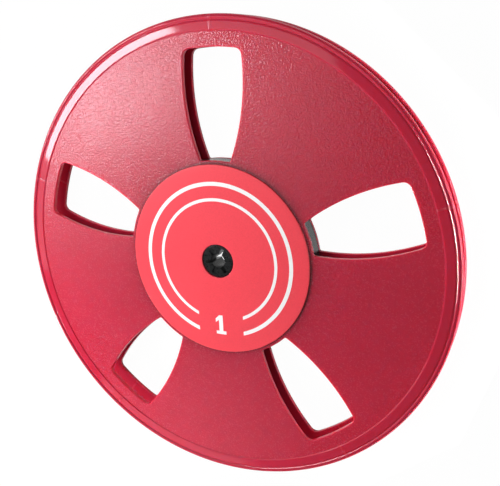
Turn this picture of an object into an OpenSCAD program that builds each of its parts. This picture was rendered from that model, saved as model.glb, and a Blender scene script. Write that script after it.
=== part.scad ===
// Empty tape reel lying on its rear side: two windowed flanges screwed to a ribbed hub.
// The origin is on the spindle axis, on the outer face of the rear label, with +Z towards the front.

/* [Reel] */
// Outer diameter of the flanges
reel_d = 266.7; // [235:0.1:300]
// Clear width between the flanges, for the tape
tape_gap = 8; // [6.8:0.1:14]

/* [Flanges] */
// Thickness of the flange web
flange_t = 2.4; // [1.8:0.1:3.6]
// Width of the polished band and the bead together, measured in from the edge
band_w = 8.6; // [5:0.05:12]
// Height of the polished band over the web
band_rise = 0.4; // [0.1:0.05:0.45]
// Height of the rounded bead at the edge over the web
bead_rise = 0.7; // [0.5:0.05:0.75]

/* [Windows] */
// Number of windows in each flange
window_count = 5; // [3:1:6]
// Greatest width of a window
window_w = 35.4; // [24:0.1:44]
// Distance from the reel's edge to the windows
window_edge = 16.45; // [13:0.05:24]
// Distance from the window's outer edge back to where it is widest
window_wide_back = 15.4; // [8:0.1:22]
// Radius of the window's long sides
window_side_r = 120.2; // [90:0.1:180]
// Step from the winding surface out to the windows
window_step = 0.15; // [0.1:0.05:1.5]
// Radius of the window's two outer corners
corner_out_r = 4; // [2:0.1:6]
// Radius of the window's two inner corners
corner_in_r = 1.2; // [0.6:0.1:2.5]

/* [Hub] */
// Diameter of the surface that the tape is wound on
hub_d = 114.3; // [98:0.1:122]
// Wall of the winding ring
hub_wall = 3.2; // [2.4:0.1:5]
// Thickness of the hub's middle web
hub_web_t = 2; // [1.4:0.1:3]
// Number of ribs between the boss and the ring, for each window
ribs_per_window = 2; // [1:1:3]
// Thickness of a rib
rib_t = 1.6; // [1.2:0.1:2.4]
// Diameter of the boss between the flanges
boss_d = 32; // [26:0.5:44]
// Diameter of the spigot that shows in the label's hole
spigot_d = 19.2; // [18.4:0.1:22]
// Rounding of the spigot's end
spigot_r = 0.6; // [0.3:0.05:0.8]
// Depth of the spigot's end under the label's face
spigot_sink = 0.5; // [0.3:0.05:0.75]
// Width of the slit that takes the end of the tape
slit_w = 1.4; // [1:0.1:2]
// Slant of that slit away from the radius, in degrees
slit_slant = 35; // [0:1:45]

/* [Spindle bore] */
// Diameter of the spindle bore
bore_d = 8.1; // [7.9:0.05:8.6]
// Bevel at each mouth of the bore
bore_bevel = 0.5; // [0.2:0.05:0.7]
// Width of a drive slot
slot_w = 1.9; // [1.6:0.05:2]
// Diameter across the ends of the drive slots
slot_d = 16; // [12:0.1:16.6]
// Depth of the shallow grooves between the drive slots
groove_depth = 0.6; // [0.3:0.05:1]
// Turn of the drive slots from the +X axis, in degrees
slot_turn = 67; // [0:1:120]

/* [Labels] */
// Thickness of a label disc
label_t = 0.8; // [0.8:0.05:1.4]
// Distance from the winding surface in to the label's edge
label_inset = 1.95; // [1:0.05:6]

/* [Screws] */
// Diameter of a screw's head
screw_head_d = 5.6; // [4.6:0.1:6.4]
// Height of the countersunk head
screw_head_h = 1.4; // [1:0.1:1.6]
// Diameter of the screw's shank
screw_d = 2.6; // [2.2:0.1:3]
// Length of a screw over all
screw_l = 5.8; // [4.4:0.1:5.8]
// Depth of the screw head's face under the web's face
screw_sink = 0.1; // [0.05:0.05:0.3]
// Diameter of the post that a screw bites into
post_d = 8; // [6.4:0.1:10]
// Distance from the winding surface in to the screws
screw_inset = 12; // [9.5:0.1:18]

/* [Fits] */
// Gap all round between the spigot and the flange's hole
spigot_gap = 0.15; // [0.05:0.05:0.4]
// Gap all round between the spigot and the label's hole
label_gap = 0.24; // [0.1:0.02:0.5]
// Height of the ring that centres a flange inside the winding ring
register_h = 1.2; // [0.6:0.1:1.8]
// Width of that ring
register_w = 2; // [1.4:0.1:3]
// Gap all round between that ring and the winding ring
register_gap = 0.15; // [0.05:0.05:0.4]
// Gap between that ring and the tops of the ribs
rib_gap = 0.3; // [0.1:0.05:0.6]
// Gap all round between a screw and its hole in the flange
screw_gap = 0.3; // [0.1:0.05:0.5]
// Gap between a screw's tip and the bottom of its hole
tip_gap = 0.2; // [0.1:0.05:0.4]

/* [Hidden] */
$fn = 120;

red = [0.76, 0.15, 0.24];
label_red = [0.93, 0.30, 0.36];
black = [0.13, 0.14, 0.14];
steel = [0.62, 0.63, 0.65];

// The spindle's three wings set the number of drive slots
slot_count = 3;

// Points on one quarter of a rounded edge, and on a window's small and large arcs
corner_steps = 6;
side_steps = 18;
// Overlap that keeps a cut clear of the face it goes through
cut = 0.5;

reel_r = reel_d / 2;
hub_r = hub_d / 2;
spigot_end_r = spigot_d / 2;

// Heights from the rear label's outer face up to the middle plane
web_face_z = label_t;
inner_face_z = web_face_z + flange_t;
middle_z = inner_face_z + tape_gap / 2;
spigot_h = middle_z - spigot_sink;

flange_hole_r = spigot_end_r + spigot_gap;
label_hole_r = spigot_end_r + label_gap;
label_r = hub_r - label_inset;
register_r = hub_r - hub_wall - register_gap;

window_in_r = hub_r + window_step;
window_out_r = reel_r - window_edge;
window_wide_y = window_out_r - window_wide_back;
side_centre = [window_w / 2 - window_side_r, window_wide_y];

screw_circle_r = hub_r - screw_inset;
screw_turn = 90 + 180 / window_count;
rib_count = ribs_per_window * window_count;
// The slit lies under a spoke on the far side of the hub, clear of the rib and the screw post there
slit_turn = screw_turn + floor(window_count / 2) * 360 / window_count + 180 / rib_count;
rib_h = tape_gap - 2 * (register_h + rib_gap);
post_hole_depth = screw_l + screw_sink - flange_t + tip_gap;

// Points on an arc about c from angle a to angle b
function arc(c, r, a, b, steps) =
    [for (i = [0 : steps]) let (t = a + (b - a) * i / steps) c + r * [cos(t), sin(t)]];

// Angle of the direction from p to q
function heading(p, q) = atan2(q[1] - p[1], q[0] - p[0]);

// The crossing on the +X side of two circles, one about the origin and one about c
function crossing(r, c, side_r) =
    let (d = norm(c),
         along = (r * r - side_r * side_r + d * d) / (2 * d),
         across = sqrt(r * r - along * along))
    [(along * c[0] + across * c[1]) / d, (along * c[1] - across * c[0]) / d];

// Centres of the outer and the inner corner on a window's +X side
corner_out = crossing(window_out_r - corner_out_r, side_centre, window_side_r - corner_out_r);
corner_in = crossing(window_in_r + corner_in_r, side_centre, window_side_r - corner_in_r);

// One half of a window's outline, from the middle of its inner edge to the middle of its outer edge
function half_window() =
    let (origin = [0, 0],
         in_end = heading(origin, corner_in),
         in_turn = heading(side_centre, corner_in),
         out_turn = heading(side_centre, corner_out),
         out_end = heading(origin, corner_out))
    concat(
        arc(origin, window_in_r, 90, in_end, corner_steps),
        arc(corner_in, corner_in_r, in_end - 180, in_turn, corner_steps),
        arc(side_centre, window_side_r, in_turn, out_turn, side_steps),
        arc(corner_out, corner_out_r, out_turn, out_end, corner_steps),
        arc(origin, window_out_r, out_end, 90, corner_steps));

module window_shape() {
    right = half_window();
    last = len(right) - 1;
    left = [for (i = [last - 1 : -1 : 1]) [-right[i][0], right[i][1]]];
    polygon(concat(right, left));
}

module around(count, first = 0) {
    for (i = [0 : count - 1])
        rotate([0, 0, first + i * 360 / count]) children();
}

module ring(outer_r, inner_r, h) {
    difference() {
        cylinder(r = outer_r, h = h);
        translate([0, 0, -cut]) cylinder(r = inner_r, h = h + 2 * cut);
    }
}

// Radius and height along a flange, with the tape side at height 0
function flange_profile() =
    let (edge_r = (flange_t + bead_rise) / 2,
         band_top = flange_t + band_rise,
         foot = asin(band_top / edge_r - 1))
    concat(
        [[flange_hole_r, 0]],
        arc([reel_r - edge_r, edge_r], edge_r, -90, 180 - foot, 4 * corner_steps),
        [[reel_r - band_w + band_rise, band_top],
         [reel_r - band_w, flange_t],
         [flange_hole_r, flange_t]]);

module screw_hole() {
    head_r = screw_head_d / 2;
    translate([0, 0, -cut]) cylinder(d = screw_d + 2 * screw_gap, h = flange_t + 2 * cut);
    translate([0, 0, flange_t - screw_sink - screw_head_h])
        cylinder(r1 = screw_d / 2, r2 = head_r, h = screw_head_h);
    translate([0, 0, flange_t - screw_sink]) cylinder(r = head_r, h = screw_sink + cut);
}

// One flange, with its tape side at height 0 and its outer face up
module flange() {
    difference() {
        union() {
            rotate_extrude() polygon(flange_profile());
            translate([0, 0, -register_h]) ring(register_r, register_r - register_w, register_h);
        }
        around(window_count)
            translate([0, 0, -cut]) linear_extrude(flange_t + 2 * cut) window_shape();
        around(window_count, screw_turn) translate([screw_circle_r, 0, 0]) screw_hole();
    }
}

// One label disc, lying on height 0
module label_disc() {
    ring(label_r, label_hole_r, label_t);
}

// One screw, with the web's outer face at height 0 and its tip pointing down
module screw() {
    slot = screw_head_h / 2;
    difference() {
        translate([0, 0, -screw_sink]) union() {
            translate([0, 0, -screw_head_h])
                cylinder(r1 = screw_d / 2, r2 = screw_head_d / 2, h = screw_head_h);
            translate([0, 0, -screw_l]) cylinder(d = screw_d, h = screw_l - screw_head_h);
        }
        for (turn = [0, 90])
            rotate([0, 0, turn])
                translate([-screw_d / 2, -slot / 2, -screw_sink - slot])
                    cube([screw_d, slot, slot + cut]);
    }
}

module screws() {
    around(window_count, screw_turn)
        translate([screw_circle_r, 0, middle_z - web_face_z]) screw();
}

// The hub's cuts in one end, seen from the middle plane
module end_cuts() {
    mouth_r = bore_d / 2 + bore_bevel;
    translate([0, 0, spigot_h - bore_bevel])
        cylinder(r1 = bore_d / 2, r2 = mouth_r + cut, h = bore_bevel + cut);
    around(slot_count, slot_turn + 180 / slot_count)
        translate([0, -slot_w / 2, spigot_h - groove_depth])
            cube([slot_d / 2, slot_w, groove_depth + cut]);
    around(window_count, screw_turn)
        translate([screw_circle_r, 0, tape_gap / 2 - post_hole_depth])
            cylinder(d = screw_d, h = post_hole_depth + cut);
}

// The spigot's outline: radius and height from the middle plane
function spigot_profile() =
    concat([[0, 0], [spigot_end_r, 0]],
        arc([spigot_end_r - spigot_r, spigot_h - spigot_r], spigot_r, 0, 90, corner_steps),
        [[0, spigot_h]]);

// The hub, standing on the middle plane's height 0 and running both ways
module hub_body() {
    translate([0, 0, -tape_gap / 2]) ring(hub_r, hub_r - hub_wall, tape_gap);
    translate([0, 0, -hub_web_t / 2]) cylinder(r = hub_r - hub_wall / 2, h = hub_web_t);
    translate([0, 0, -tape_gap / 2]) cylinder(d = boss_d, h = tape_gap);
    around(rib_count, screw_turn)
        translate([0, -rib_t / 2, -rib_h / 2]) cube([hub_r - hub_wall / 2, rib_t, rib_h]);
    around(window_count, screw_turn)
        translate([screw_circle_r, 0, -tape_gap / 2]) cylinder(d = post_d, h = tape_gap);
    for (side = [0, 1])
        mirror([0, 0, side]) rotate_extrude() polygon(spigot_profile());
}

module hub() {
    difference() {
        hub_body();
        translate([0, 0, -spigot_h - cut]) cylinder(d = bore_d, h = 2 * (spigot_h + cut));
        around(slot_count, slot_turn)
            translate([0, -slot_w / 2, -spigot_h - cut])
                cube([slot_d / 2, slot_w, 2 * (spigot_h + cut)]);
        for (side = [0, 1])
            mirror([0, 0, side]) end_cuts();
        rotate([0, 0, slit_turn])
            translate([hub_r, 0, -tape_gap])
                rotate([0, 0, slit_slant])
                    translate([-2 * hub_wall, -slit_w / 2, 0])
                        cube([3 * hub_wall, slit_w, 2 * tape_gap]);
    }
}

module front_side() {
    translate([0, 0, middle_z]) children();
}

module rear_side() {
    translate([0, 0, middle_z]) rotate([0, 180, 0]) children();
}

module front_flange() {
    color(red) front_side() translate([0, 0, tape_gap / 2]) flange();
}

module rear_flange() {
    color(red) rear_side() translate([0, 0, tape_gap / 2]) flange();
}

module hub_core() {
    color(black) front_side() hub();
}

module front_label() {
    color(label_red) front_side() translate([0, 0, middle_z - label_t]) label_disc();
}

module rear_label() {
    color(label_red) rear_side() translate([0, 0, middle_z - label_t]) label_disc();
}

module front_screws() {
    color(steel) front_side() screws();
}

module rear_screws() {
    color(steel) rear_side() screws();
}

front_flange();
rear_flange();
hub_core();
front_label();
rear_label();
front_screws();
rear_screws();
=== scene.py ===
"""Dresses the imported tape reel: two moulded flanges with rounded windows and polished rims, printed
labels, a black hub, and a plain white studio seen from the photograph's angle.

Sizes are in millimetres in the row frame, and MM turns them into metres. Angles are in degrees, turns
start from +X, and colours are linear.
"""
import math

import bmesh
import bpy
from mathutils import Matrix, Vector


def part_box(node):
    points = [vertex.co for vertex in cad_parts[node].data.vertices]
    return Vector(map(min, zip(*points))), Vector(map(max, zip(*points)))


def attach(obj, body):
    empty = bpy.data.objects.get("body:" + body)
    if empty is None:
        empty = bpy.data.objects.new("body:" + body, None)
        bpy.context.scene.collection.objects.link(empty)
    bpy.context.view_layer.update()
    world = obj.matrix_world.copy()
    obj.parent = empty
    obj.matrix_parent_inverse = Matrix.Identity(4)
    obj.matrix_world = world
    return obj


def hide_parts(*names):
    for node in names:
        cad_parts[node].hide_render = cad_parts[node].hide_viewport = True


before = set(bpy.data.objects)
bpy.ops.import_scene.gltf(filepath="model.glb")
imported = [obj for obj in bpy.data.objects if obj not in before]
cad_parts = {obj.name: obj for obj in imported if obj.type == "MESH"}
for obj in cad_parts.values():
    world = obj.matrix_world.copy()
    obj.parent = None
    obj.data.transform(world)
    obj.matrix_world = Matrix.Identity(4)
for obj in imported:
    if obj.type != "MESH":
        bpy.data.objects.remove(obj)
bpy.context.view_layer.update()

MM = 0.001
AXIS = (0.0, 0.0)
TO_PLUS_Y = 90
TO_MINUS_Y = 270


def reach(node, axis):
    """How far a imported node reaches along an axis, to a hundredth of a millimetre."""
    return round(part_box(node)[1][axis] / MM, 2)


# Whole reel, from the frame, in which it lies on its rear label
REEL_R = reach("front_flange", 1)  # along Y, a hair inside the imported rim's radius
LABEL_R = reach("front_label", 0)
LABEL_T = reach("rear_label", 2)
HALF_T = reach("front_label", 2) / 2

# Places of the two sides, each drawn with its outside up and heights from the reel's middle
FRONT = Matrix.Translation((0, 0, HALF_T))
REAR = FRONT @ Matrix.Rotation(math.pi, 4, "Y")

# Flange
TAPE_GAP = 8.0
TAPE_SIDE_Z = TAPE_GAP / 2
FLANGE_T = 2.4
BAND_W = 8.6
BAND_RISE = 0.4
STEP_RUN = 0.6
STEP_SOFT_R = 0.5
BEAD_RISE = 0.7

# Groove at the bead's foot
FOOT_R = 0.5
FOOT_SINK = 0.22
FOOT_TURN = 15  # its round starts this far before its lowest point

# Windows
WINDOW_COUNT = 5
WINDOW_STEP = 360 / WINDOW_COUNT
WINDOW_W = 35.4
WINDOW_IN_R = 57.3
WINDOW_OUT_R = 116.9
WINDOW_WIDE_Y = 101.5
SIDE_R = 120.2
CORNER_OUT_R = 4.0
CORNER_IN_R = 1.2
WINDOW_EDGE_R = 0.5
TAPE_EDGE_R = 0.12

# Spindle hole, register ring and screw holes
FLANGE_HOLE_R = 9.75
REGISTER_R = 53.8
REGISTER_W = 2.0
REGISTER_H = 1.2
SCREW_CIRCLE_R = 45.15
SCREW_HOLE_R = 1.6
SCREW_HEAD_R = 2.8
SCREW_SINK = 0.1
SCREW_CONE_H = 1.12
SCREW_TURN = 126.0

# Labels
LABEL_HOLE_R = 9.84
LABEL_EDGE_R = 0.35

# Steps round full circles
RIM_STEPS = 480
RING_STEPS = 240
HOLE_STEPS = 72
SCREW_STEPS = 32

# Steps along the arcs of half a window's outline, from the inside out
INNER_STEPS = 10
CORNER_IN_STEPS = 10
SIDE_STEPS = 40
CORNER_OUT_STEPS = 14
OUTER_STEPS = 20

# Steps along the other arcs
SOFT_STEPS = 4
FOOT_STEPS = 8
BEAD_STEPS = 40
WINDOW_EDGE_STEPS = 6
TAPE_EDGE_STEPS = 4
LABEL_EDGE_STEPS = 5
BOWL_STEPS = 24

# Shading: the least angle of an edge that stays sharp, and flat strips beside the rounded edges
SHARP_ANGLE = 40
WEB_STRIP = 3.0
STEP_STRIP = 1.0
GROOVE_STRIP = 0.3
WINDOW_STRIP = 0.35
LABEL_STRIP = 1.15
LABEL_HOLE_STRIP = 0.65

# Print on the labels: two open rings, with a mark between their ends
INK_T = 0.03
RINGS = ((34.76, 36.56), (43.46, 45.71))  # inner and outer radius of each
RING_GAP_HALF = 14.25
MARK_TURN = 271.5
MARK_R = 38.55
MARK_H = 11.7
MARK_STROKE = 2.5
MARK_BAR = 2.0

# The flange's finishes, by the number of their material slot
MATTE, BAND, EDGE, WALLS = range(4)

# Light and dark tone of the moulding, and a lighter copy of them on the window walls, a painted glow
CRIMSON = ((0.54, 0.021, 0.061), (0.51, 0.019, 0.055))
CRIMSON_WALL_GLOW = ((0.62, 0.032, 0.075), (0.59, 0.030, 0.070))

# Painted shade on the moulding's colour round the label and over the hub, between two radii
SHADE_FROM_R = 55
SHADE_TO_R = 95
SHADE_STEPS = ((0.0, 0.42), (0.025, 0.5), (0.045, 0.76), (0.16, 0.90), (0.4, 0.96), (1.0, 1.0))

# Surface textures
NOISE_RANGE = (0.3, 0.7)  # nearly all of a noise texture's values lie between these
WELD_EDGE = 0.9993  # a weld line rises where the cosine in weld_lines passes this
WELD_HAZE = 0.35  # roughness that a weld line adds

# Camera
CAMERA_AT = (167.2, 114.8, 336.9)
CAMERA_AIM = (10.7, 9.7, 7.2)
CAMERA_UP_TURN = 88.46  # the way that is up in the picture
CAMERA_LENS = 48.35
CAMERA_SHIFT = (0.0211, 0.001)
CAMERA_CLIP_M = (0.01, 20)

# Studio
WHITE = (1, 1, 1, 1)
FLOOR_HALF_M = 6
FLOOR_WHITE = 0.98  # share of plain white in what is seen of the floor
WORLD_LEVEL = 0.15  # of the light all round
SEEN_LEVEL = (1.0, 0.15)  # of what reflections see at the horizon and further up
SEEN_RISE = (0.05, 0.25)  # sines of the rises between which that changes
FACE_Z = 14  # height that the lamps aim at

# Low lamps that shine into the right of the rim
GLOW_R = 158
GLOW_Z = 1
GLOW_AIM_R = 132
GLOWS = ((-50, 0.10), (-18, 0.10), (14, 0.10), (46, 0.04))  # turn and power of each


def arc(centre, radius, start, end, steps):
    """Points on an arc, from one angle to the other."""
    turns = [math.radians(start + (end - start) * i / steps) for i in range(steps + 1)]
    return [(centre[0] + radius * math.cos(t), centre[1] + radius * math.sin(t)) for t in turns]


def circle(radius, steps, centre=AXIS):
    """Points round a full circle."""
    return arc(centre, radius, 0, 360, steps)[:-1]


def heading(start, end):
    """The direction from one point to another, as a turn from +X."""
    return math.degrees(math.atan2(end[1] - start[1], end[0] - start[0]))


def turned(points, degrees):
    """The points turned about the reel's axis."""
    cos, sin = math.cos(math.radians(degrees)), math.sin(math.radians(degrees))
    return [(cos * x - sin * y, sin * x + cos * y) for x, y in points]


def crossing(radius, centre, side_r):
    """The crossing on the +X side of a circle about the origin and one about centre."""
    apart = math.hypot(*centre)
    along = (radius ** 2 - side_r ** 2 + apart ** 2) / (2 * apart)
    across = math.sqrt(radius ** 2 - along ** 2)
    return ((along * centre[0] + across * centre[1]) / apart,
            (along * centre[1] - across * centre[0]) / apart)


def window_outline(grow):
    """Points round the window about +Y, with its outline moved outward by grow."""
    side = (WINDOW_W / 2 - SIDE_R, WINDOW_WIDE_Y)
    inner = crossing(WINDOW_IN_R + CORNER_IN_R, side, SIDE_R - CORNER_IN_R)
    outer = crossing(WINDOW_OUT_R - CORNER_OUT_R, side, SIDE_R - CORNER_OUT_R)
    inner_end, side_start = heading(AXIS, inner), heading(side, inner)
    side_end, outer_start = heading(side, outer), heading(AXIS, outer)
    right = arc(AXIS, WINDOW_IN_R - grow, TO_PLUS_Y, inner_end, INNER_STEPS)
    right += arc(inner, CORNER_IN_R + grow, inner_end - 180, side_start, CORNER_IN_STEPS)[1:]
    right += arc(side, SIDE_R + grow, side_start, side_end, SIDE_STEPS)[1:]
    right += arc(outer, CORNER_OUT_R + grow, side_end, outer_start, CORNER_OUT_STEPS)[1:]
    right += arc(AXIS, WINDOW_OUT_R + grow, outer_start, TO_PLUS_Y, OUTER_STEPS)[1:]
    return right + [(-x, y) for x, y in reversed(right[1:-1])]


def new_object(name, data):
    """An object of that data, in the scene."""
    made = bpy.data.objects.new(name, data)
    bpy.context.scene.collection.objects.link(made)
    return made


def loop(shape, points, height):
    """New vertices at the points, all at one height."""
    return [shape.verts.new((x, y, height)) for x, y in points]


def bridge(shape, first, second, slot=0):
    """Quads between two closed loops of as many points."""
    for i in range(len(first)):
        j = (i + 1) % len(first)
        shape.faces.new((first[i], first[j], second[j], second[i])).material_index = slot


def skin(shape, loops, slot=0):
    """Quads between each loop and the next."""
    for first, second in zip(loops, loops[1:]):
        bridge(shape, first, second, slot)


def fill(shape, loops, slot=0):
    """Flat faces between an outer loop and the holes in it."""
    edges = []
    for verts in loops:
        for start, end in zip(verts, verts[1:] + verts[:1]):
            edges.append(shape.edges.get((start, end)) or shape.edges.new((start, end)))
    made = bmesh.ops.triangle_fill(shape, use_beauty=True, edges=edges)
    for face in made["geom"]:
        if isinstance(face, bmesh.types.BMFace):
            face.material_index = slot


def finish_mesh(shape, name, place, materials):
    """The shape as an object in metres, placed by place, smooth but for its sharp edges."""
    sharp = math.radians(SHARP_ANGLE)
    bmesh.ops.recalc_face_normals(shape, faces=shape.faces)
    for face in shape.faces:
        face.smooth = True
    for edge in shape.edges:
        if edge.calc_face_angle(0) > sharp:
            edge.smooth = False
    bmesh.ops.transform(shape, matrix=Matrix.Scale(MM, 4) @ place, verts=shape.verts)
    mesh = bpy.data.meshes.new(name)
    shape.to_mesh(mesh)
    shape.free()
    for material in materials:
        mesh.materials.append(material)
    return new_object(name, mesh)


def rim_profile():
    """Radius, height and finish from the web, over the step, band and bead, to the tape side."""
    band_top = FLANGE_T + BAND_RISE
    step_r = REEL_R - BAND_W
    band_r = step_r + STEP_RUN
    rise = heading((step_r, FLANGE_T), (band_r, band_top))
    tangent = math.tan(math.radians(rise / 2)) * STEP_SOFT_R
    hollow = (step_r - tangent, FLANGE_T + STEP_SOFT_R)
    crest = (band_r + tangent, band_top - STEP_SOFT_R)
    step = arc(hollow, STEP_SOFT_R, -90, rise - 90, SOFT_STEPS)
    step += arc(crest, STEP_SOFT_R, rise + 90, 90, SOFT_STEPS)

    bead_r = (FLANGE_T + BEAD_RISE) / 2
    bead = (REEL_R - bead_r, bead_r)
    foot_z = band_top - FOOT_SINK + FOOT_R
    foot = (bead[0] - math.sqrt((bead_r + FOOT_R) ** 2 - (foot_z - bead_r) ** 2), foot_z)
    groove_r = foot[0] - math.tan(math.radians(FOOT_TURN)) * FOOT_R

    web = [(step_r - WEB_STRIP, FLANGE_T), (step_r - STEP_STRIP, FLANGE_T)] + step[:2]
    band = step[2:] + [(band_r + STEP_STRIP, band_top)]
    band += [(groove_r - STEP_STRIP, band_top), (groove_r - GROOVE_STRIP, band_top)]
    edge = arc(foot, FOOT_R, -90 - FOOT_TURN, heading(foot, bead), FOOT_STEPS)
    edge += arc(bead, bead_r, heading(bead, foot), -90, BEAD_STEPS)[1:]
    edge += [(bead[0] - STEP_STRIP, 0)]
    return [(*point, slot) for slot, part in ((MATTE, web), (BAND, band), (EDGE, edge)) for point in part]


def window_profile():
    """How far out of a window's outline and how high its wall runs, from the face to the tape side."""
    face = [(WINDOW_EDGE_R + WINDOW_STRIP, FLANGE_T)]
    face += arc((WINDOW_EDGE_R, FLANGE_T - WINDOW_EDGE_R), WINDOW_EDGE_R, 90, 180, WINDOW_EDGE_STEPS)
    tape = arc((TAPE_EDGE_R, TAPE_EDGE_R), TAPE_EDGE_R, 180, 270, TAPE_EDGE_STEPS)
    return face + tape + [(TAPE_EDGE_R + WINDOW_STRIP, 0)]


def rim(shape):
    """The turned rim, and its inner loops in the web's face and in the tape side."""
    profile = rim_profile()
    loops = [loop(shape, circle(radius, RIM_STEPS), TAPE_SIDE_Z + height) for radius, height, _ in profile]
    for first, second, (_, _, slot) in zip(loops, loops[1:], profile):
        bridge(shape, first, second, slot)
    return loops[0], loops[-1]


def window(shape, turn):
    """One window's rounded wall, and its loops in the web's face and in the tape side."""
    loops = [loop(shape, turned(window_outline(grow), turn), TAPE_SIDE_Z + height)
             for grow, height in window_profile()]
    skin(shape, loops[:2], MATTE)
    skin(shape, loops[1:], WALLS)
    return loops[0], loops[-1]


def turned_wall(shape, profile, steps, centre=AXIS):
    """A wall turned from radii and heights above the tape side, and its first and last loops."""
    loops = [loop(shape, circle(radius, steps, centre), TAPE_SIDE_Z + height)
             for radius, height in profile]
    skin(shape, loops, EDGE)
    return loops[0], loops[-1]


def screw_hole(shape, number):
    """One countersunk screw hole, and its loops in the web's face and in the tape side."""
    turn = math.radians(SCREW_TURN + number * WINDOW_STEP)
    cone_top = FLANGE_T - SCREW_SINK
    profile = ((SCREW_HEAD_R, FLANGE_T), (SCREW_HEAD_R, cone_top),
               (SCREW_HOLE_R, cone_top - SCREW_CONE_H), (SCREW_HOLE_R, 0))
    centre = (SCREW_CIRCLE_R * math.cos(turn), SCREW_CIRCLE_R * math.sin(turn))
    return turned_wall(shape, profile, SCREW_STEPS, centre)


def register_ring(shape):
    """The ring that drops inside the hub's winding wall, and its outer and inner loops."""
    inner_r = REGISTER_R - REGISTER_W
    profile = ((REGISTER_R, 0), (REGISTER_R, -REGISTER_H), (inner_r, -REGISTER_H), (inner_r, 0))
    return turned_wall(shape, profile, RING_STEPS)


def flange(name, place, materials):
    """A flange, its openings cut through the web's face and the tape side."""
    shape = bmesh.new()
    numbers = range(WINDOW_COUNT)
    outer = [rim(shape)] + [window(shape, number * WINDOW_STEP) for number in numbers]
    inner = [turned_wall(shape, ((FLANGE_HOLE_R, FLANGE_T), (FLANGE_HOLE_R, 0)), HOLE_STEPS)]
    inner += [screw_hole(shape, number) for number in numbers]
    ring_outer, ring_inner = register_ring(shape)
    fill(shape, [face for face, _ in outer + inner], MATTE)
    fill(shape, [tape for _, tape in outer] + [ring_outer], EDGE)
    fill(shape, [ring_inner] + [tape for _, tape in inner], EDGE)
    return finish_mesh(shape, name, place, materials)


def label(name, place, materials):
    """A label disc with softly rounded edges, its face an ink's thickness under the top."""
    shape = bmesh.new()
    low, high = HALF_T - LABEL_T, HALF_T - INK_T
    edge_z = high - LABEL_EDGE_R
    outer = arc((LABEL_R - LABEL_EDGE_R, edge_z), LABEL_EDGE_R, 90, 0, LABEL_EDGE_STEPS)
    inner = arc((LABEL_HOLE_R + LABEL_EDGE_R, edge_z), LABEL_EDGE_R, 180, 90, LABEL_EDGE_STEPS)
    profile = [(outer[0][0] - LABEL_STRIP, high)] + outer + [(LABEL_R, low)]
    profile += [(LABEL_HOLE_R, low)] + inner + [(inner[-1][0] + LABEL_HOLE_STRIP, high)]
    loops = [loop(shape, circle(radius, RING_STEPS), height) for radius, height in profile]
    skin(shape, loops + loops[:1])
    return finish_mesh(shape, name, place, materials)


def slab(shape, outline, low, high):
    """A flat closed shape, such as a patch of ink."""
    bottom, top = loop(shape, outline, low), loop(shape, outline, high)
    bridge(shape, bottom, top)
    fill(shape, [bottom])
    fill(shape, [top])


def ring_outline(inner_r, outer_r):
    """An open ring about the mark, its two ends cut parallel to the mark's own axis."""
    outer_end = math.degrees(math.asin(RING_GAP_HALF / outer_r))
    inner_end = math.degrees(math.asin(RING_GAP_HALF / inner_r))
    outer = arc(AXIS, outer_r, MARK_TURN + outer_end, MARK_TURN + 360 - outer_end, RING_STEPS)
    inner = arc(AXIS, inner_r, MARK_TURN + 360 - inner_end, MARK_TURN + inner_end, RING_STEPS)
    return outer + inner


def numeral_one():
    """The outline of a plain 1, about its own middle."""
    top, bar_top = MARK_H / 2, -MARK_H / 2 + MARK_BAR
    stem, foot, flag = MARK_STROKE / 2, 3.2, 3.4
    flag_top, flag_low, flag_root = top - 2.3, top - 4.6, top - 3
    return [(-foot, -top), (foot, -top), (foot, bar_top), (stem, bar_top), (stem, top), (-stem + 0.3, top),
            (-flag, flag_top), (-flag, flag_low), (-stem, flag_root), (-stem, bar_top), (-foot, bar_top)]


def numeral_two():
    """The outline of a plain 2, about its own middle."""
    top, bar_top = MARK_H / 2, -MARK_H / 2 + MARK_BAR
    bowl_r, bowl_start, bowl_end = 3.7, 170, -38
    bowl = (0, top - bowl_r)
    outer = arc(bowl, bowl_r, bowl_start, bowl_end, BOWL_STEPS)
    inner = arc(bowl, bowl_r - MARK_STROKE, bowl_end, bowl_start, BOWL_STEPS)
    foot = [(0.4, bar_top), (bowl_r, bar_top), (bowl_r, -top), (-bowl_r, -top), (-bowl_r, bar_top)]
    return outer + foot + inner


def printing(name, place, materials, mark):
    """The white print of one label: two open rings and a plain number."""
    shape = bmesh.new()
    ink = (HALF_T - INK_T, HALF_T)
    for inner_r, outer_r in RINGS:
        slab(shape, ring_outline(inner_r, outer_r), *ink)
    lean = MARK_TURN - TO_MINUS_Y
    middle = turned([(0, -MARK_R)], lean)[0]
    slab(shape, [(x + middle[0], y + middle[1]) for x, y in turned(mark, lean)], *ink)
    return finish_mesh(shape, name, place, materials)


def new_material(name):
    """A material with its nodes, links and shader."""
    material = bpy.data.materials.new(name)
    material.use_nodes = True
    nodes = material.node_tree.nodes
    return material, nodes, material.node_tree.links, nodes["Principled BSDF"]


def calculate(nodes, links, operation, *values):
    """A math node's result, from numbers or from other nodes' outputs."""
    node = nodes.new("ShaderNodeMath")
    node.operation = operation
    for socket, value in zip(node.inputs, values):
        if isinstance(value, (int, float)):
            socket.default_value = value
        else:
            links.new(value, socket)
    return node.outputs[0]


def remap(nodes, links, source, before, after, easing="LINEAR"):
    """The source, with the range before turned into the range after."""
    node = nodes.new("ShaderNodeMapRange")
    node.interpolation_type = easing
    for socket, value in zip(("From Min", "From Max", "To Min", "To Max"), (*before, *after)):
        node.inputs[socket].default_value = value
    links.new(source, node.inputs["Value"])
    return node.outputs["Result"]


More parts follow.
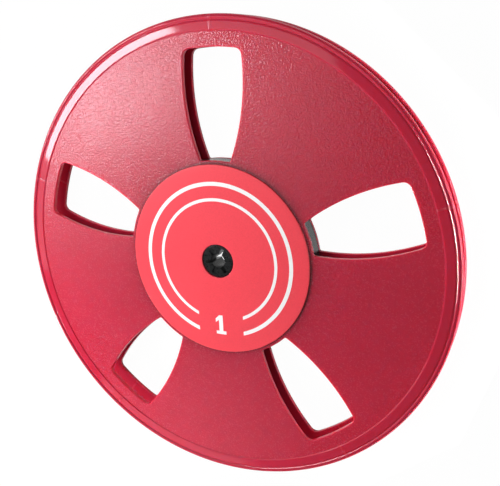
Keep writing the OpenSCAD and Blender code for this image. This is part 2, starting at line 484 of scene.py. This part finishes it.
def ramp(nodes, links, source, stops):
    """A colour ramp, its stops given as place and colour."""
    node = nodes.new("ShaderNodeValToRGB")
    elements = node.color_ramp.elements
    while len(elements) < len(stops):
        elements.new(0.5)
    for element, (place, colour) in zip(elements, stops):
        element.position = place
        element.color = (*colour, 1)
    links.new(source, node.inputs["Fac"])
    return node.outputs["Color"]


def noise(nodes, links, scale, detail, rough=0.55):
    """A noise texture in the object's own metres."""
    coords = nodes.new("ShaderNodeTexCoord")
    node = nodes.new("ShaderNodeTexNoise")
    node.inputs["Scale"].default_value = scale
    node.inputs["Detail"].default_value = detail
    node.inputs["Roughness"].default_value = rough
    links.new(coords.outputs["Object"], node.inputs["Vector"])
    return node.outputs["Fac"]


def mottled(nodes, links, source, dark, light):
    """A noise turned into a colour between two tones."""
    return ramp(nodes, links, source, ((NOISE_RANGE[0], dark), (NOISE_RANGE[1], light)))


def bump(nodes, links, source, distance, strength, after=None):
    """A bumped normal, its height from the source and its distance in metres."""
    node = nodes.new("ShaderNodeBump")
    node.inputs["Strength"].default_value = strength
    node.inputs["Distance"].default_value = distance
    links.new(source, node.inputs["Height"])
    if after:
        links.new(after, node.inputs["Normal"])
    return node.outputs["Normal"]


def painted_hub_shade(nodes, links):
    """Painted shade on the moulding's colour, darkest round the label and over the black hub, running out
    to 1.
    """
    coords = nodes.new("ShaderNodeTexCoord")
    flat = nodes.new("ShaderNodeVectorMath")
    flat.operation = "MULTIPLY"
    flat.inputs[1].default_value = (1, 1, 0)
    links.new(coords.outputs["Object"], flat.inputs[0])
    radius = nodes.new("ShaderNodeVectorMath")
    radius.operation = "LENGTH"
    links.new(flat.outputs["Vector"], radius.inputs[0])
    near = remap(nodes, links, radius.outputs["Value"], (SHADE_FROM_R * MM, SHADE_TO_R * MM), (0, 1))
    return ramp(nodes, links, near, [(place, (shade, shade, shade)) for place, shade in SHADE_STEPS])


def weld_lines(nodes, links):
    """Thin radial ridges in line with the windows, where the moulding's flows met."""
    coords = nodes.new("ShaderNodeTexCoord")
    parts = nodes.new("ShaderNodeSeparateXYZ")
    links.new(coords.outputs["Object"], parts.inputs["Vector"])
    turn = calculate(nodes, links, "ARCTAN2", parts.outputs["Y"], parts.outputs["X"])
    first = -math.radians(TO_PLUS_Y) * WINDOW_COUNT
    from_window = calculate(nodes, links, "MULTIPLY_ADD", turn, WINDOW_COUNT, first)
    near = calculate(nodes, links, "COSINE", from_window)
    return remap(nodes, links, near, (WELD_EDGE, 1), (0, 1), "SMOOTHSTEP")


def crimson(name, tones, rough, depth, shine, grain=False):
    """Translucent crimson moulding, with painted shade near the hub, a fine grain on the web and faint
    waves elsewhere.

    It has a range of roughness, a depth in millimetres that light spreads to, and a share of shine.
    """
    material, nodes, links, shader = new_material(name)
    light, dark = tones
    mottle = noise(nodes, links, scale=45, detail=3)
    # The mottled tone is multiplied by a painted shade round the label and over the hub
    tone_with_painted_shade = nodes.new("ShaderNodeMix")
    tone_with_painted_shade.data_type = "RGBA"
    tone_with_painted_shade.blend_type = "MULTIPLY"
    tone_with_painted_shade.inputs["Factor"].default_value = 1.0
    links.new(mottled(nodes, links, mottle, dark, light), tone_with_painted_shade.inputs["A"])
    links.new(painted_hub_shade(nodes, links), tone_with_painted_shade.inputs["B"])
    links.new(tone_with_painted_shade.outputs["Result"], shader.inputs["Base Color"])
    shader.inputs["Subsurface Weight"].default_value = 0.75
    shader.inputs["Subsurface Radius"].default_value = (1.0, 0.12, 0.16)
    shader.inputs["Subsurface Scale"].default_value = depth * MM
    shader.inputs["IOR"].default_value = 1.55
    shader.inputs["Specular IOR Level"].default_value = shine
    if grain:
        grains = noise(nodes, links, scale=1150, detail=1, rough=0.5)
        links.new(remap(nodes, links, grains, NOISE_RANGE, rough), shader.inputs["Roughness"])
        links.new(bump(nodes, links, grains, distance=0.00021, strength=1.0), shader.inputs["Normal"])
    else:
        welds = weld_lines(nodes, links)
        haze = remap(nodes, links, noise(nodes, links, scale=120, detail=3), NOISE_RANGE, rough)
        hazy = calculate(nodes, links, "MULTIPLY_ADD", welds, WELD_HAZE, haze)
        links.new(hazy, shader.inputs["Roughness"])
        swell = noise(nodes, links, scale=70, detail=2)
        waves = bump(nodes, links, swell, distance=0.0001, strength=0.06)
        ridges = bump(nodes, links, welds, distance=0.00006, strength=1.0, after=waves)
        links.new(ridges, shader.inputs["Normal"])
    return material


def moulding_finishes():
    """The flange's finishes, in the order of their slots."""
    return (crimson("crimson_matte", CRIMSON, rough=(0.12, 0.32), depth=6, shine=0.6, grain=True),
            crimson("crimson_band", CRIMSON, rough=(0.05, 0.08), depth=6, shine=0.5),
            crimson("crimson_edge", CRIMSON, rough=(0.11, 0.15), depth=1, shine=0.5),
            # The window walls take the lighter copy of the crimson, a painted glow along their edges
            crimson("crimson_walls", CRIMSON_WALL_GLOW, rough=(0.22, 0.28), depth=6, shine=0.2))


def textured(name, tones, tone_noise, rough, rough_noise=None):
    """A material with a mottled colour and an uneven roughness, each from a noise's scale and detail."""
    material, nodes, links, shader = new_material(name)
    mottle = noise(nodes, links, *tone_noise)
    haze = noise(nodes, links, *rough_noise) if rough_noise else mottle
    links.new(mottled(nodes, links, mottle, *tones), shader.inputs["Base Color"])
    links.new(remap(nodes, links, haze, NOISE_RANGE, rough), shader.inputs["Roughness"])
    return material, nodes, links, shader


def label_red():
    """The labels' brighter red, with a fine tooth."""
    tones = ((0.86, 0.050, 0.073), (0.93, 0.058, 0.084))
    material, nodes, links, shader = textured("label_red", tones, tone_noise=(1300, 3),
                                              rough=(0.38, 0.46), rough_noise=(200, 3))
    tooth = noise(nodes, links, scale=1500, detail=3, rough=0.6)
    links.new(bump(nodes, links, tooth, distance=0.00005, strength=0.7), shader.inputs["Normal"])
    return material


def print_white():
    """White printing ink."""
    tones = ((0.92, 0.92, 0.91), (0.96, 0.96, 0.95))
    return textured("print_white", tones, tone_noise=(900, 3), rough=(0.35, 0.5))[0]


def hub_black():
    """Black moulding, scuffed by use."""
    tones = ((0.004, 0.0045, 0.005), (0.010, 0.011, 0.011))
    material, nodes, links, shader = textured("hub_black", tones, tone_noise=(260, 4),
                                              rough=(0.22, 0.38), rough_noise=(500, 4))
    scuffs = noise(nodes, links, scale=1100, detail=4, rough=0.65)
    links.new(bump(nodes, links, scuffs, distance=0.00006, strength=0.5), shader.inputs["Normal"])
    shader.inputs["Specular IOR Level"].default_value = 0.36
    return material


def screw_steel():
    """Plain steel."""
    tones = ((0.46, 0.47, 0.49), (0.60, 0.61, 0.63))
    material, _, _, shader = textured("screw_steel", tones, tone_noise=(1500, 4), rough=(0.25, 0.4))
    shader.inputs["Metallic"].default_value = 1.0
    return material


def seen_directly(nodes, links):
    """1 where the camera, a reflection or clear material looks at the background, and else 0."""
    path = nodes.new("ShaderNodeLightPath")
    seen = path.outputs["Is Camera Ray"]
    for way in ("Is Glossy Ray", "Is Transmission Ray"):
        seen = calculate(nodes, links, "MAXIMUM", seen, path.outputs[way])
    return seen


def mix_shaders(nodes, links, share, first, second, output):
    """Sends a share of the second shader and the rest of the first to the output."""
    mix = nodes.new("ShaderNodeMixShader")
    links.new(share, mix.inputs["Fac"])
    links.new(first.outputs[0], mix.inputs[1])
    links.new(second.outputs[0], mix.inputs[2])
    links.new(mix.outputs[0], nodes[output].inputs["Surface"])


def white_floor():
    """A pale floor that reads white behind the reel and keeps a light shadow."""
    material, nodes, links, shader = new_material("white_floor")
    shader.inputs["Base Color"].default_value = (0.86, 0.86, 0.86, 1)
    shader.inputs["Roughness"].default_value = 0.9
    shader.inputs["Specular IOR Level"].default_value = 0.0
    glow = nodes.new("ShaderNodeEmission")
    glow.inputs["Color"].default_value = WHITE
    share = calculate(nodes, links, "MULTIPLY", seen_directly(nodes, links), FLOOR_WHITE)
    mix_shaders(nodes, links, share, shader, glow, "Material Output")
    return material


def studio_world():
    """Soft grey light all round, which the camera sees as white.

    Reflections and clear material see it as white near the floor and dim overhead.
    """
    world = bpy.data.worlds.new("studio")
    bpy.context.scene.world = world
    world.use_nodes = True
    nodes, links = world.node_tree.nodes, world.node_tree.links
    soft = nodes["Background"]
    soft.inputs["Color"].default_value = WHITE
    soft.inputs["Strength"].default_value = WORLD_LEVEL
    way = nodes.new("ShaderNodeTexCoord")
    parts = nodes.new("ShaderNodeSeparateXYZ")
    links.new(way.outputs["Generated"], parts.inputs["Vector"])
    walls = remap(nodes, links, parts.outputs["Z"], SEEN_RISE, SEEN_LEVEL)
    path = nodes.new("ShaderNodeLightPath")
    seen = nodes.new("ShaderNodeBackground")
    seen.inputs["Color"].default_value = WHITE
    level = calculate(nodes, links, "MAXIMUM", walls, path.outputs["Is Camera Ray"])
    links.new(level, seen.inputs["Strength"])
    mix_shaders(nodes, links, seen_directly(nodes, links), soft, seen, "World Output")


def facing(at, aim, along):
    """A placement at a point, looking to aim down its -Z, with its X axis nearest to along."""
    back = (Vector(at) - Vector(aim)).normalized()
    side = Vector(along)
    side = (side - side.dot(back) * back).normalized()
    up = back.cross(side)
    at = Vector(at) * MM
    return Matrix(((side.x, up.x, back.x, at.x), (side.y, up.y, back.y, at.y),
                   (side.z, up.z, back.z, at.z), (0, 0, 0, 1)))


def softbox(name, at, aim, along, size, power, colour=(1, 1, 1), soft=True, gloss=True, beam=180):
    """A rectangular lamp that faces a point, its first side along a direction.

    It can light the body colour (soft), show in the gloss (gloss), or both, within its beam's angle.
    """
    data = bpy.data.lights.new(name, "AREA")
    data.shape = "RECTANGLE"
    data.size = size[0] * MM
    data.size_y = size[1] * MM
    data.energy = power
    data.color = colour
    data.spread = math.radians(beam)
    lamp = new_object(name, data)
    lamp.matrix_world = facing(at, aim, along)
    lamp.visible_camera = False
    lamp.visible_diffuse = soft
    lamp.visible_glossy = gloss


def studio_lamps():
    """Softboxes for the body colour and for the gloss, mostly apart, as the highlights need."""
    axis = (0, 0, FACE_Z)
    softbox("key_softbox", at=(-322, 86, 340), aim=(-60, 60, FACE_Z), along=(-0.81, -0.59, 0),
            size=(210, 72), power=0.72, colour=(0.98, 0.93, 1.0))
    softbox("overhead_gloss", at=(-220, 70, 440), aim=axis, along=(0, 1, 0),
            size=(300, 300), power=0.27, soft=False)
    softbox("upper_softbox", at=(-230, 170, 330), aim=axis, along=(0.6, 0.8, 0),
            size=(200, 200), power=0.42, gloss=False)
    softbox("left_softbox", at=(-385, -301, 172), aim=axis, along=(-0.62, 0.79, 0),
            size=(220, 140), power=3.6, gloss=False)
    softbox("left_gloss", at=(-412, -50, 340), aim=(-125, 20, FACE_Z), along=(0, 1, 0),
            size=(200, 180), power=0.12, soft=False)
    softbox("top_fill", at=(-30, 200, 150), aim=(-15, 110, FACE_Z), along=(1, 0, 0),
            size=(100, 60), power=0.085, gloss=False)
    softbox("lower_fill", at=(-60, -190, 150), aim=(-30, -105, FACE_Z), along=(1, 0, 0),
            size=(100, 60), power=0.05, gloss=False)
    softbox("glint_strip", at=(-200, -140, 60), aim=(128, 22, FACE_Z), along=(-0.44, 0.9, 0),
            size=(90, 40), power=0.018, soft=False, beam=18)
    softbox("front_gloss", at=(-330, -480, 420), aim=(-60, -110, FACE_Z), along=(0.8, -0.6, 0),
            size=(300, 200), power=0.15, soft=False)
    softbox("right_strip", at=(460, 0, 120), aim=(130, 0, FACE_Z), along=(0, 1, 0),
            size=(300, 40), power=0.8, soft=False)


def rim_glows():
    """Low lamps outside the right of the rim, whose light comes up through the bead."""
    for number, (turn, power) in enumerate(GLOWS):
        cos, sin = math.cos(math.radians(turn)), math.sin(math.radians(turn))
        softbox("rim_glow_%d" % number, at=(GLOW_R * cos, GLOW_R * sin, GLOW_Z),
                aim=(GLOW_AIM_R * cos, GLOW_AIM_R * sin, FACE_Z), along=(-sin, cos, 0),
                size=(90, 24), power=power, gloss=False)


def photo_camera():
    """The photograph's place, direction, roll and lens."""
    data = bpy.data.cameras.new("photo_camera")
    data.lens = CAMERA_LENS
    data.shift_x, data.shift_y = CAMERA_SHIFT
    data.clip_start, data.clip_end = CAMERA_CLIP_M
    camera = new_object("photo_camera", data)
    turn = math.radians(CAMERA_UP_TURN)
    back = Vector(CAMERA_AT) - Vector(CAMERA_AIM)
    right = Vector((math.cos(turn), math.sin(turn), 0)).cross(back)
    camera.matrix_world = facing(CAMERA_AT, CAMERA_AIM, right)
    bpy.context.scene.camera = camera


def floor():
    """The wide plain floor that the reel lies on."""
    shape = bmesh.new()
    bmesh.ops.create_grid(shape, x_segments=1, y_segments=1, size=FLOOR_HALF_M)
    mesh = bpy.data.meshes.new("floor")
    shape.to_mesh(mesh)
    shape.free()
    mesh.materials.append(white_floor())
    new_object("floor", mesh)


def dress(piece, node=None):
    """The piece rides on the reel, and may stand in for a node, which is then hidden."""
    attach(piece, "root")
    if node:
        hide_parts(node)


def dress_sides():
    """Each side's moulding, label disc and print, with a 1 on the front and a 2 on the rear."""
    mouldings, red, white = moulding_finishes(), label_red(), print_white()
    for side, place, mark in (("front", FRONT, numeral_one()), ("rear", REAR, numeral_two())):
        dress(flange(side + "_flange_moulding", place, mouldings), side + "_flange")
        dress(label(side + "_label_disc", place, (red,)), side + "_label")
        dress(printing(side + "_label_print", place, (white,), mark))


def paint_nodes():
    """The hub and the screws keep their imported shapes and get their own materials."""
    steel = screw_steel()
    for node, material in (("hub_core", hub_black()), ("front_screws", steel), ("rear_screws", steel)):
        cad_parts[node].data.materials.clear()
        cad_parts[node].data.materials.append(material)


photo_camera()
studio_world()
floor()
studio_lamps()
rim_glows()
dress_sides()
paint_nodes()
bpy.context.scene.view_settings.view_transform = "Standard"
